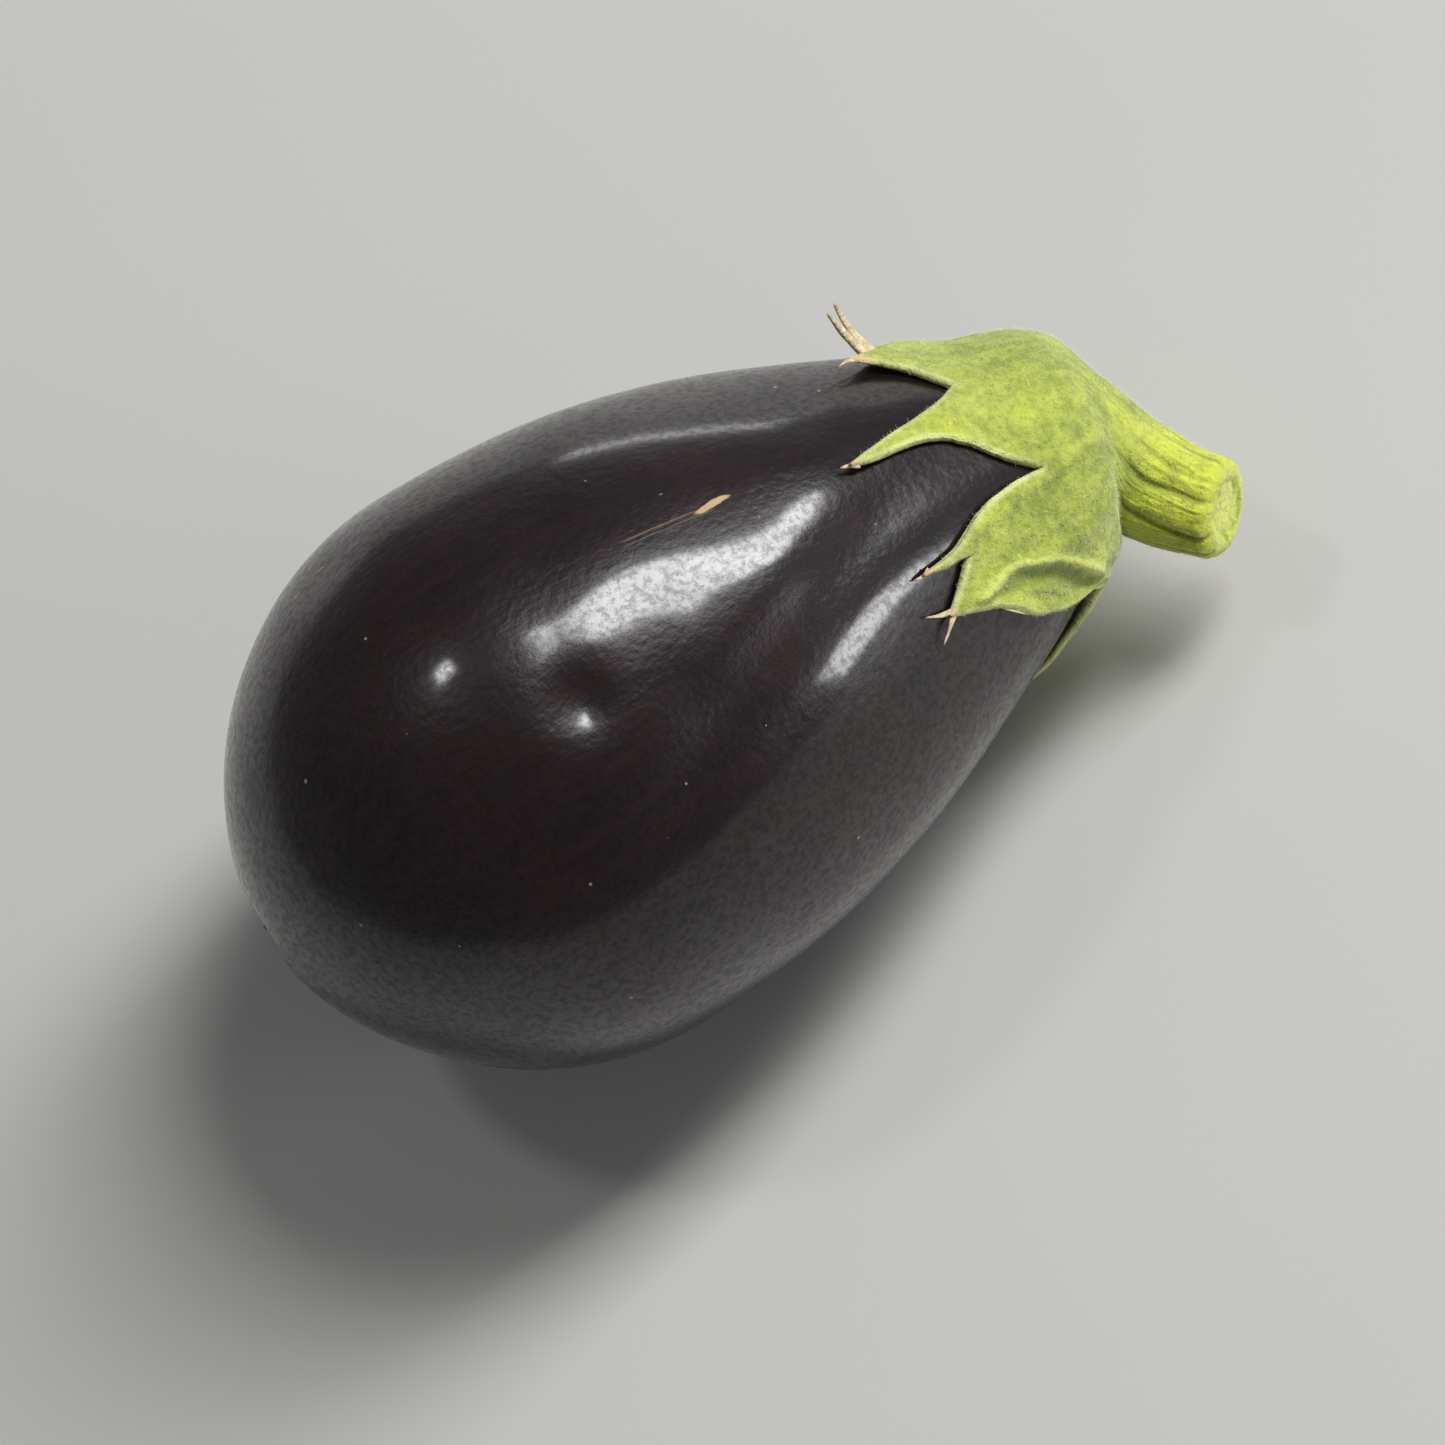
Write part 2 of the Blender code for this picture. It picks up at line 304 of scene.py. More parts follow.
# A healed scratch: a short corky streak with two hair lines trailing towards the blossom end.
along, across = peel.reading("scratch_along"), peel.reading("scratch_across")
wander = (peel.noise(300, 2) - 0.5) * 1.6
streak = across + along * 0.10 + wander * 0.5
corky = peel.between(streak * streak / 0.45 + (along - 0.5) * (along - 0.5) / 10.5, 1.25, 0.6)
trail_reach = peel.between(along, -16.0, -13.0) * peel.between(along, 1.0, -1.0)
trail = across - along * 0.06 + wander * 0.25
second = across - along * 0.06 - 0.9 + wander * 0.3
hairs = peel.between(trail * trail, 0.04, 0.01) * trail_reach * 0.5
hairs = hairs + peel.between(second * second, 0.03, 0.008) * trail_reach * 0.3
colour = peel.blend(hairs, colour, (0.20, 0.13, 0.08))
colour = peel.blend(corky, colour, (0.46, 0.33, 0.17))


def sprinkled(stretch, scale, width, share):
    """Small marks, no wider than this part of a cell; that share of the cells has none."""
    cells = {"Vector": peel.place(stretch), "Scale": scale}
    away = peel.node("ShaderNodeTexVoronoi", {}, cells, "Distance")
    chance = peel.node("ShaderNodeSeparateColor", {}, {
        "Color": peel.node("ShaderNodeTexVoronoi", {}, cells, "Color")}, "Red")
    return peel.between(away - width * (chance - share) / (1 - share), 0.02, 0.0)


# Pale pin-point specks, sparse and uneven, and a few longer ones among them.
specks = sprinkled((1, 1, 1), 190.0, 0.055, 0.35) + sprinkled((0.28, 1, 1), 150.0, 0.045, 0.7)
colour = peel.blend(specks * 0.75, colour, (0.33, 0.28, 0.23))

roughness = 0.32 + weather * 0.12 + rub * 0.10
roughness = roughness + (corky + specks) * 0.45
bloom = peel.between(peel.noise(850, 3, 0.7), 0.36, 0.60, 0.48, 1.0)
coat = peel.between(weather, 0.25, 0.75, 1.0, 0.78) * bloom * (1 - corky)
grain = peel.bump(pores, 0.00009)
fine_grain = peel.bump(peel.noise(1900, 2), 0.00002, grain)
raised = peel.bump(corky * (0.5 + peel.noise(2500, 2)) + hairs * 0.3, 0.0002, fine_grain)
peel.feed(peel.shader, {"Base Color": colour, "Roughness": roughness,
                        "Coat Weight": coat, "Normal": raised})
fruit.data.materials.append(peel.material)
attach(fruit, "root")
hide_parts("fruit")

# ---- The calyx and the stem ----------------------------------------------------------------------------
# One green, felted tissue, grown fast on the fruit: the stalk's ribbed stump, cut in picking, swells into
# a collar from which five pointed lobes run down the skin. One lobe has split and one tip curls up dry.
# It is a single closed shell, so it takes the place of both the calyx and the stem.
# A lobe is its two sides, each from its notch to the shared tip: millimetres from the crown, degrees round.
LOBES = (
    (((30, -114), (31, -92), (34, -70), (38, -53), (42, -40.5), (46.5, -32.6)),
     ((34, -11), (36, -18), (38.5, -24), (42, -29), (46.5, -31.8))),
    (((34, -11), (38, -5), (43, -1), (49, 2), (55, 4.9), (61, 7.9)),
     ((30, 34), (35, 24), (39, 14), (42, 9.8), (47, 8.3), (53, 8.7), (57.5, 9.1), (61, 8.5))),
    (((30, 34), (34, 33), (38, 33), (44, 34), (50, 38.3), (54, 39), (60, 39.3)),
     ((51, 43), (53, 42.2), (56, 41.6), (60, 40))),
    (((51, 43), (54, 47), (56, 49.5), (58.5, 52)),
     ((26, 106), (28, 99), (34, 91), (39, 83), (43, 76), (46, 67), (50, 61), (55, 56), (58.5, 53))),
    (((26, 106), (33, 114), (40, 122), (47, 134), (54, 142)),
     ((29, 173), (33, 164), (38, 154), (45, 147), (54, 142.8))),
    (((29, 173), (33, 182), (39, 192), (48, 203), (56, 208)),
     ((30, 246), (34, 235), (39, 223), (48, 213), (56, 208.8))),
)
# In millimetres: how far each tip curls up off the skin, over how much of its lobe, and how much has dried.
TIP_LIFTS, CURL_REACH = (1.6, 0.9, 0.5, 0.4, 1.2, 0.8), 13
DRY_REACHES = (4.5, 3.0, 3.5, 2.5, 5.0, 4.0)
# Lines on the cap, in the lobes' terms: the midribs, and the fold across the split lobe's broad side.
MIDRIBS = (((17, -75), (28, -62), (38, -46), (46, -33)), ((17, 2), (30, 8), (42, 4), (50, 5), (60, 8.4)),
           ((17, 38), (30, 37), (44, 37), (59, 39.7)), ((20, 72), (32, 64), (46, 57), (58, 52.5)),
           ((19, 140), (34, 140), (53, 142.3)), ((14, 208), (34, 209), (55, 208.4)))
FOLD = ((52, 55), (48, 54), (44, 54), (40, 58), (34, 67), (29, 83), (27, 92))
# The collar and how much its two sides differ, the cap's thickness, and the gap that it keeps off the skin.
COLLAR_REACH, COLLAR_SHIFT, LEAN = 16.0, 4.5, 100
COLLAR_LIFT, LIFT_SHIFT, LEAF_LIFT = 3.9, -1.7, 1.25
SKIN_GAP, RIM_ROUND = 0.25, 0.9
MIDRIB_RISE, MIDRIB_WIDTH = 0.40, 1.4
GUTTER_DEPTH, GUTTER_WAY_IN, GUTTER_WIDTH = 0.30, 2.4, 1.1
# The fold's ridge and the valley beside it: height, place across the fold's line and width.
FOLD_RIDGE, FOLD_VALLEY = (0.85, -0.2, 0.9), (-0.75, -2.6, 1.5)
CAP_ROWS, INNER_ROWS, FLARE_ROWS, STALK_ROWS = 34, 12, 20, 36
MM = 0.001
# Millimetres to a degree round the fruit, near enough to space points evenly on the cap.
ARC = 0.55


def through(points, count):
    """Evenly spaced points on a smooth curve through (millimetres, degrees) points, lifts or none."""
    points = np.array(points, float)
    ends = np.vstack([2 * points[0] - points[1], points, 2 * points[-1] - points[-2]])
    share = np.linspace(0, 1, 17)[:-1, None]
    fine = np.vstack([cubic((b, b + (c - a) / 6, c - (d - b) / 6, c), share)
                      for a, b, c, d in zip(ends, ends[1:], ends[2:], ends[3:])] + [points[-1]])
    steps = np.diff(fine, axis=0) * (1, ARC, 1)[:points.shape[1]]
    length = np.concatenate(([0], np.cumsum(np.linalg.norm(steps, axis=1))))
    even = np.linspace(0, length[-1], count)
    return np.stack([np.interp(even, length, part) for part in fine.T], -1)


def on_skin(plan, lift=0.0):
    """The same (millimetres, degrees) points on the fruit, raised by this many millimetres."""
    return skin(plan[..., 0] * MM, np.radians(plan[..., 1]), lift * MM)


def nearest(points, targets):
    """How far each point is from the nearest of the targets, in millimetres."""
    tree = KDTree(len(targets))
    for number, target in enumerate(targets):
        tree.insert(target, number)
    tree.balance()
    return np.array([tree.find(point)[2] for point in points]) / MM


def frayed(side, layer):
    """Makes a lobe's side slightly wavy between its notch and its tip."""
    inner = np.sin(np.linspace(0, math.pi, len(side)))
    spots = np.column_stack([side * (1, ARC), np.zeros(len(side))])
    wave = 0.40 * ripple(spots, 4.5, layer) + 0.14 * ripple(spots, 1.4, layer + 1)
    return side + (inner * wave)[:, None] * (1, 1.2)


strips = []
for number, (first_side, other_side) in enumerate(LOBES):
    gap = math.hypot(first_side[0][0] - other_side[0][0], (first_side[0][1] - other_side[0][1]) * ARC)
    even = np.linspace(0, 1, max(16, round(gap / 0.6)) + 1)
    across = (0.5 * even + 0.25 * (1 - np.cos(math.pi * even)))[:, None]
    rows = max(24, round(max(math.dist(side[0], side[-1]) for side in (first_side, other_side)) / 0.6))
    one, two = (frayed(through(side, rows + 1), 10 * number) for side in (first_side, other_side))
    strips.append(one[:, None] * (1 - across) + two[:, None] * across)

rim_points = on_skin(np.vstack([strip[:, end] for strip in strips for end in (0, -1)]))
rib_points = on_skin(np.vstack([through(rib, 120) for rib in MIDRIBS]))
tip_points = on_skin(np.array([lobe[0][-1] for lobe in LOBES], float))
fold_line = through(FOLD, 160) * (1, ARC)
fold_heading = np.gradient(fold_line, axis=0)
fold_heading /= np.linalg.norm(fold_heading, axis=1)[:, None]


def collar_start(angles):
    return COLLAR_REACH + COLLAR_SHIFT * np.cos(np.radians(angles - LEAN))


def collar_lift(angles):
    return COLLAR_LIFT + LIFT_SHIFT * np.cos(np.radians(angles - LEAN))


def leaf(plan, under=False):
    """The cap's upper (or under) side over this plan: points, way in from the rim, dryness, fold height."""
    flat = plan.reshape(-1, 2)
    at = on_skin(flat)
    edge, rib = nearest(at, rim_points), nearest(at, rib_points)
    tips = np.linalg.norm(at[:, None] - tip_points, axis=2) / MM
    aside = (flat * (1, ARC))[:, None] - fold_line
    closest = (aside ** 2).sum(2).argmin(1)
    aside = aside[np.arange(len(flat)), closest]
    beyond = (aside * fold_heading[closest]).sum(1)
    over = fold_heading[closest][:, 0] * aside[:, 1] - fold_heading[closest][:, 1] * aside[:, 0]

    curl = ((1 - np.clip(tips / CURL_REACH, 0, 1)) ** 2 * TIP_LIFTS).sum(1)
    curl += (0.35 + 0.5 * ripple(at, 0.009, 3)) * np.exp(-(edge / 1.8) ** 2)
    below = SKIN_GAP + np.maximum(curl, 0)
    if under:
        lift = below
        crease = 0 * edge
    else:
        swell = collar_lift(flat[:, 1]) - LEAF_LIFT
        thick = LEAF_LIFT + swell * fade(flat[:, 0] - collar_start(flat[:, 1]), 18, 0)
        thick = thick * (1 - 0.45 * np.exp(-tips.min(1) / 4))
        thick += MIDRIB_RISE * np.exp(-(rib / MIDRIB_WIDTH) ** 2) * fade(edge, 0.5, 2.5)
        gutter = np.exp(-((edge - GUTTER_WAY_IN) / GUTTER_WIDTH) ** 2)
        thick -= GUTTER_DEPTH * gutter * fade(rib, 1.0, 3.0)
        crease = sum(rise * np.exp(-((over - place) / width) ** 2)
                     for rise, place, width in (FOLD_RIDGE, FOLD_VALLEY))
        crease *= np.exp(-(beyond / 2.0) ** 2) * fade(edge, 0.6, 2.6)
        thick += crease
        lift = below + thick * np.sqrt(np.clip(1 - (1 - np.clip(edge / RIM_ROUND, 0, 1)) ** 2, 0, 1))
    dry = np.exp(-(tips / DRY_REACHES) ** 2).max(1)
    return on_skin(flat, lift), edge, dry, crease


# The stalk bends away from the fruit's axis, on a cubic curve. It starts part of the way along it, where
# the flare ends. The cut is slanted, with a rounded rim. The furrows are directions round it and depths.
STALK_PATH = ((0.1487, -0.0007, -0.0004), (0.1538, -0.0074, -0.0020), (0.1562, -0.0158, -0.0047),
              (0.1620, -0.0219, -0.0048))
STALK_FOOT, STALK_FOOT_RADIUS, STALK_END_RADIUS = 0.58, 8.9, 8.1
STALK_LENGTH = 26.0
RIM_ROUNDING, RIM_DEPTH, FACE_HOLLOW = 2.7, 2.2, 0.5
CUT_SLANT, CUT_TURN = 0.24, 29
# The material reads the way along the shell, in millimetres from the crown and below zero on the stalk.
# At the middle of the cut face it is FACE_WAY, and it grows by FACE_SPAN out to the rim.
FACE_WAY, FACE_SPAN = -STALK_LENGTH - 9, 6
FURROWS = ((32, 0.75), (73, 0.70), (0, 0.32), (112, 0.45), (149, 0.50), (188, 0.40), (226, 0.55),
           (263, 0.40), (297, 0.50), (331, 0.35))
TURN_STEP = 0.01
FLARE_PULL = 3.2


def stalk_ring(t, radius, angles, ahead=0.0, carved=1.0):
    """A furrowed ring round the stalk at t, moved ahead by these millimetres, its heading and furrows."""
    middle = cubic(STALK_PATH, t)
    heading = Vector(cubic(STALK_PATH, t + TURN_STEP) - cubic(STALK_PATH, t - TURN_STEP)).normalized()
    turn = np.array(Vector((1, 0, 0)).rotation_difference(heading).to_matrix())
    cut = np.zeros(len(angles))
    for number, (at, depth) in enumerate(FURROWS):
        aside = np.remainder(angles - at - 5 * math.sin(5 * t + number * 2.1) + 180, 360) - 180
        aside = np.radians(aside) * radius
        cut += depth * (0.55 * np.exp(-(aside / 0.5) ** 2) + 0.45 * np.exp(-(aside / 1.3) ** 2))
    cut *= carved
    ahead = ahead - CUT_SLANT * radius * np.cos(np.radians(angles - CUT_TURN)) * max(0, t - 0.8) / 0.2
    out = (radius + 0.15 - cut) * MM
    round_it = np.stack([np.zeros(len(angles)), -out * np.sin(np.radians(angles)),
                         out * np.cos(np.radians(angles))], -1)
    return middle + round_it @ turn.T + np.outer(ahead, heading) * MM, np.array(heading), cut


base = np.vstack([strip[0, :-1] for strip in strips])
columns = base[:, 1]
store, notes = [], []


def lay(points, way, angle, edge=9.0, dry=0.0, furrow=0.0, crest=0.0):
    """Adds points to the shell, with what its material needs to know of them, and returns their numbers."""
    first = len(store)
    store.extend(np.atleast_2d(points).tolist())
    count = len(store) - first
    facts = np.broadcast_arrays(way, angle, edge, dry, furrow, crest, np.zeros(count))[:6]
    notes.extend(np.stack(facts, -1).tolist())
    return np.arange(first, first + count)


def face_outwards(piece):
    """Turns every face of a closed piece to look out of it."""
    whole = bmesh.new()
    whole.from_mesh(piece.data)
    bmesh.ops.recalc_face_normals(whole, faces=whole.faces)
    whole.to_mesh(piece.data)
    whole.free()


def quads(first, second):
    """Four-sided faces between two open rows of vertex numbers."""
    rows = zip(first, first[1:], second[1:], second)
    return [face for face in rows if len(set(face)) == 4]


end_middle = stalk_ring(1.0, 0.01, columns, RIM_DEPTH - FACE_HOLLOW)[0].mean(0)
cut_pole = lay(end_middle, FACE_WAY, 0.0)[0]
rings = []
for share in (0.06, 0.13, 0.2, 0.28, 0.37, 0.46, 0.55, 0.64, 0.73, 0.82, 0.91):
    radius = (STALK_END_RADIUS - RIM_ROUNDING) * share
    groove = 0.35 * math.exp(-((share - 0.78) / 0.09) ** 2)
    rise = RIM_DEPTH - FACE_HOLLOW * (1 - share ** 2) - groove
    points = stalk_ring(1.0, radius, columns, rise, 0.3 * share ** 3)[0]
    rings.append(lay(points, FACE_WAY + FACE_SPAN * share, columns))
for turn in np.linspace(math.pi / 2, 0, 10):
    radius = STALK_END_RADIUS - RIM_ROUNDING * (1 - math.cos(turn))
    rise = RIM_DEPTH * math.sin(turn)
    points, heading, cut = stalk_ring(1.0, radius, columns, rise, 0.3 + 0.7 * math.cos(turn))
    rings.append(lay(points, -STALK_LENGTH - 3 * math.sin(turn), columns, furrow=cut * math.cos(turn)))
for t in np.linspace(1, STALK_FOOT, STALK_ROWS + 1)[1:]:
    share = (1 - t) / (1 - STALK_FOOT)
    radius = STALK_END_RADIUS + (STALK_FOOT_RADIUS - STALK_END_RADIUS) * share ** 1.5
    points, heading, cut = stalk_ring(t, radius, columns)
    rings.append(lay(points, -STALK_LENGTH * t, columns, furrow=cut))
foot_ring, foot_heading, foot_cut, foot_way = points, heading, cut, -STALK_LENGTH * STALK_FOOT

start = collar_start(columns)
shares = np.linspace(0, 1, CAP_ROWS + 1)
cap_plans = [np.stack([start + (base[:, 0] - start) * share, columns], -1) for share in shares]
cap = [leaf(plan) for plan in cap_plans]
inner = on_skin(np.stack([start - 3.0, columns], -1), collar_lift(columns) + SKIN_GAP)
for row in range(1, FLARE_ROWS):
    share = row / FLARE_ROWS
    points = cubic((foot_ring, foot_ring - foot_heading * FLARE_PULL * MM, inner, cap[0][0]), share)
    way = foot_way + (start - foot_way) * share
    rings.append(lay(points, way, columns, furrow=foot_cut * (1 - share) ** 0.7))
for plan, (points, edge, dry, crease) in zip(cap_plans, cap):
    rings.append(lay(points, plan[:, 0], columns, edge, dry, crest=crease))
top_base = rings[-1]
faces = [(cut_pole, a, b) for a, b in zip(rings[0].tolist(), np.roll(rings[0], -1).tolist())]
for first, second in zip(rings, rings[1:]):
    faces += band(first.tolist(), second.tolist())

under_base = lay(leaf(base, under=True)[0], base[:, 0], columns, 0.0)
starts = np.concatenate(([0], np.cumsum([strip.shape[1] - 1 for strip in strips])))
under_base[starts[:-1]] = top_base[starts[:-1]]
for strip, first in zip(strips, starts):
    width = strip.shape[1]
    place = (first + np.arange(width)) % len(base)
    above, below = top_base[place].tolist(), under_base[place].tolist()
    upper, upper_edge, upper_dry, crests = (part.reshape(len(strip), width, -1) for part in leaf(strip))
    lower = leaf(strip, under=True)[0].reshape(len(strip), width, -1)
    for row in range(1, len(strip)):
        way, angle = strip[row].T
        known = (upper_edge[row, :, 0], upper_dry[row, :, 0], 0.0, crests[row, :, 0])
        next_above = lay(upper[row], way, angle, *known).tolist()
        next_below = next_above
        if row < len(strip) - 1:
            inside = lay(lower[row, 1:-1], way[1:-1], angle[1:-1], 0.0, upper_dry[row, 1:-1, 0])
            next_below = [next_above[0], *inside.tolist(), next_above[-1]]
        faces += quads(above, next_above) + quads(next_below, below)
        above, below = next_above, next_below

last = under_base
for row in range(INNER_ROWS - 1, 0, -1):
    ring = lay(on_skin(base * (row / INNER_ROWS, 1), SKIN_GAP), 0.0, columns, 0.0)
    faces += band(ring.tolist(), last.tolist())
    last = ring
inner_pole = lay(on_skin(np.zeros((1, 2)), SKIN_GAP), 0.0, 0.0, 0.0)[0]
faces += [(inner_pole, b, a) for a, b in zip(last.tolist(), np.roll(last, -1).tolist())]

notes = np.array(notes)
way, angle, edge, dry, furrow, crest = notes.T
spots = at_rest(np.array(store))
cap_piece = add_piece("calyx_and_stem", spots, faces)
face_outwards(cap_piece)
normals = np.empty(len(store) * 3, np.float32)
cap_piece.data.vertices.foreach_get("normal", normals)

# Streaks run from the stalk out over the cap, and the felt is lumpy between them.
round_it = np.stack([20 * np.cos(np.radians(angle)), 20 * np.sin(np.radians(angle)), 0.13 * way], -1)
streak = 0.7 * ripple(round_it, 2.4, 23) + 0.5 * ripple(round_it, 1.1, 24)
lump = 0.30 * ripple(spots, 0.0070, 20) + 0.16 * ripple(spots, 0.0028, 21)
lump += 0.07 * ripple(spots, 0.0012, 22)
lump += 0.22 * streak * fade(way, 45, 15) * fade(way, -29.5, -26)
spots += normals.reshape(-1, 3) * (lump * fade(edge, 0.1, 2.0) * MM)[:, None]
cap_piece.data.vertices.foreach_set("co", spots.ravel())
cap_piece.data.shade_smooth()
cap_piece.data.update()
# The felt's material paints shade into the hollows and furrows and highlights onto the crests from these
# readings.
facts = {"edge": edge, "dry": dry, "furrow": furrow, "way": way, "streak": streak, "lump": lump + crest}
for name, values in facts.items():
    mark(cap_piece, name, values)

# Felted tissue: mottled green that yellows down the stem, with painted shade in its hollows and stem
# furrows, painted highlights on its crests, and pale rims that are partly a painted sheen.
felt = Surface("calyx_felt", {"IOR": 1.4, "Sheen Weight": 0.55, "Sheen Roughness": 0.45,
                              "Sheen Tint": (0.95, 1.0, 0.75, 1), "Subsurface Weight": 0.08,
                              "Subsurface Radius": (0.6, 0.9, 0.2), "Subsurface Scale": 0.0012})
edge, dry, furrow = felt.reading("edge"), felt.reading("dry"), felt.reading("furrow")
way, streak, lump = felt.reading("way"), felt.reading("streak"), felt.reading("lump")
patches = felt.between(felt.noise(130, 4, 0.6), 0.35, 0.65)
fine = felt.between(felt.noise(520, 3, 0.65), 0.35, 0.7)
tufts = felt.between(felt.noise(1100, 2, 0.6), 0.5, 0.72)
green = felt.blend(patches, (0.205, 0.26, 0.026), (0.37, 0.44, 0.052))
green = felt.blend(fine * 0.42, green, (0.49, 0.55, 0.11))
yellowing = felt.between(way, -5.0, -18.0) * 0.75 + felt.between(felt.noise(90, 2), 0.5, 0.72) * 0.35
green = felt.blend(yellowing, green, (0.63, 0.69, 0.052))
lines = felt.between(streak, 0.05, 0.55) * felt.between(way, 50, 20)
green = felt.blend(lines * 0.6, green, (0.17, 0.22, 0.018))
# Painted shade: darker green where the relief (lump) dips into hollows and creases.
green = felt.blend(felt.between(lump, 0.0, -0.4) * 0.7, green, (0.165, 0.215, 0.018))
# Painted highlight: paler yellow-green where the relief rises on crests and lumps.
green = felt.blend(felt.between(lump, 0.1, 0.5) * 0.6, green, (0.59, 0.63, 0.16))
# Painted shade: the stem's furrows are darkened by their depth.
green = felt.blend(felt.between(furrow, 0.12, 0.5) * 0.62, green, (0.12, 0.145, 0.009))
green = felt.blend(tufts * 0.4, green, (0.21, 0.26, 0.025))
# Partly the underside's own paler colour, partly a painted sheen: the lobes' rims are paler, standing in
# for the bright fringe of the felt.
green = felt.blend(felt.between(edge, 1.3, 0.2) * (0.35 + 0.4 * patches), green, (0.70, 0.71, 0.33))

# The cut end is yellow-green flesh with a broken, darker ring of bundles and a paler pith.
face = felt.between(way, -27.2, -29.0)
ring = felt.between(way, -32.2, -30.9) * felt.between(way, -28.6, -29.6)
bundles = felt.between(felt.noise(520, 2), 0.50, 0.62) * ring
flesh = felt.blend(felt.between(way, -32.0, -34.5), (0.50, 0.56, 0.055), (0.60, 0.62, 0.11))
flesh = felt.blend(bundles * 0.7, flesh, (0.20, 0.25, 0.02))
green = felt.blend(face, green, flesh)
green = felt.blend(felt.between(dry + (fine - 0.5) * 0.3, 0.35, 0.8), green, (0.56, 0.42, 0.22))
grain = felt.bump(felt.noise(700, 3, 0.6) + felt.noise(2600, 2, 0.6) * 0.35 + tufts * 0.3, 0.00035)
felt.feed(felt.shader, {"Base Color": green, "Roughness": 0.62 + fine * 0.15, "Normal": grain})
cap_piece.data.materials.append(felt.material)
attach(cap_piece, "root")
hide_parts("calyx", "stem")
# ---- The felt's hairs ----------------------------------------------------------------------------------
# The calyx and the stem are clothed in short, pale, soft hairs, which show as a fringe along the outline.
# They grow out of the green tissue at every slant; the cut end and the dry tips have lost theirs.
# A hair is a thin closed spike. Its lengths, its radius and the depth of its root are in millimetres.
HAIR_COUNT = 20000
HAIR_SHORTEST, HAIR_LONGEST = 0.30, 0.90
HAIR_RADIUS, HAIR_ROOT, HAIR_SLANT = 0.035, 0.12, 0.55
chance = np.random.default_rng(11)
way, edge, dry = (notes[:, column] for column in (0, 2, 3))
plots = np.array([face for face in faces if len(face) == 4])
living, outside = (dry[plots] < 0.5) & (way[plots] > -STALK_LENGTH - 1), edge[plots] > 0.1
plots = plots[living.all(1) & outside.any(1)]
corners = spots[plots]
spans = np.cross(corners[:, 2] - corners[:, 0], corners[:, 3] - corners[:, 1])
areas = np.linalg.norm(spans, axis=1)
picked = chance.choice(len(plots), HAIR_COUNT, p=areas / areas.sum())
corners = corners[picked]
across, along = chance.random((HAIR_COUNT, 1)), chance.random((HAIR_COUNT, 1))
near = corners[:, 0] * (1 - across) + corners[:, 1] * across
far = corners[:, 3] * (1 - across) + corners[:, 2] * across
roots = near * (1 - along) + far * along
growth = normals.reshape(-1, 3)[plots[picked]].mean(1) + HAIR_SLANT * chance.normal(size=(HAIR_COUNT, 3))
growth /= np.linalg.norm(growth, axis=1)[:, None]
side = np.cross(growth, chance.normal(size=(HAIR_COUNT, 3)))
side /= np.linalg.norm(side, axis=1)[:, None]
other = np.cross(growth, side)
length = HAIR_SHORTEST + (HAIR_LONGEST - HAIR_SHORTEST) * chance.random((HAIR_COUNT, 1)) ** 2
hairs = np.empty((HAIR_COUNT, 4, 3))
for corner, turn in enumerate((0, 2 * math.pi / 3, 4 * math.pi / 3)):
    out = HAIR_RADIUS * (side * math.cos(turn) + other * math.sin(turn))
    hairs[:, corner] = roots + (out - HAIR_ROOT * growth) * MM
hairs[:, 3] = roots + growth * length * MM
hair_faces = [(4 * hair + a, 4 * hair + b, 4 * hair + c) for hair in range(HAIR_COUNT)
              for a, b, c in ((0, 2, 1), (0, 1, 3), (1, 2, 3), (2, 0, 3))]
felt_hairs = add_piece("felt_hairs", hairs.reshape(-1, 3), hair_faces)
mark(felt_hairs, "tip", np.tile((0, 0, 0, 1), HAIR_COUNT))

down = Surface("felt_hair", {"IOR": 1.4, "Subsurface Weight": 0.1, "Subsurface Scale": 0.0005})
tint = down.between(down.noise(400, 2), 0.35, 0.65)
colour = down.blend(tint, (0.55, 0.62, 0.16), (0.72, 0.74, 0.38))
colour = down.blend(down.reading("tip") * 0.5, colour, (0.80, 0.80, 0.55))
down.feed(down.shader, {"Base Color": colour, "Roughness": 0.55 + tint * 0.2})
felt_hairs.data.materials.append(down.material)
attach(felt_hairs, "root")


# ---- The dry points ------------------------------------------------------------------------------------
# The lobes end in threads of the same tissue, dried to brittle tan fibres: a pair stands up from the lobe
# on the far shoulder, the split lobe's tip is forked, and the others trail a little way over the skin.
# Each is a path of millimetres from the crown, degrees round and lift in millimetres, and its root radius.
# The standing pair comes first.
DRY_POINTS = (
    (((41.0, -40.0, 1.1), (42.8, -41.5, 3.4), (44.6, -43.0, 6.3), (46.4, -42.5, 9.6)), 1.00),
    (((41.6, -38.5, 1.1), (43.8, -40.0, 3.2), (45.9, -41.0, 5.8), (48.2, -40.0, 8.6)), 0.92),
    (((45.3, -32.4, 2.1), (47.2, -31.4, 2.3), (48.8, -30.2, 1.8)), 0.55),
    (((59.0, 8.4, 1.3), (60.8, 8.0, 1.5), (62.2, 7.6, 1.2)), 0.60),
    (((58.2, 39.4, 0.8), (59.9, 39.8, 0.9), (61.4, 39.4, 0.6)), 0.42),
    (((57.0, 52.2, 0.8), (59.8, 50.8, 1.0), (62.6, 48.6, 0.7)), 0.50),
    (((57.0, 52.6, 0.8), (59.6, 55.0, 1.2), (61.8, 57.6, 0.9)), 0.50),
    (((52.6, 142.4, 1.7), (56.0, 143.2, 2.4), (58.6, 145.5, 3.2)), 0.45),
    (((54.8, 208.4, 1.3), (57.8, 207.6, 1.3), (60.2, 206.0, 0.7)), 0.42),
)
POINT_RINGS, POINT_SIDES = 26, 12
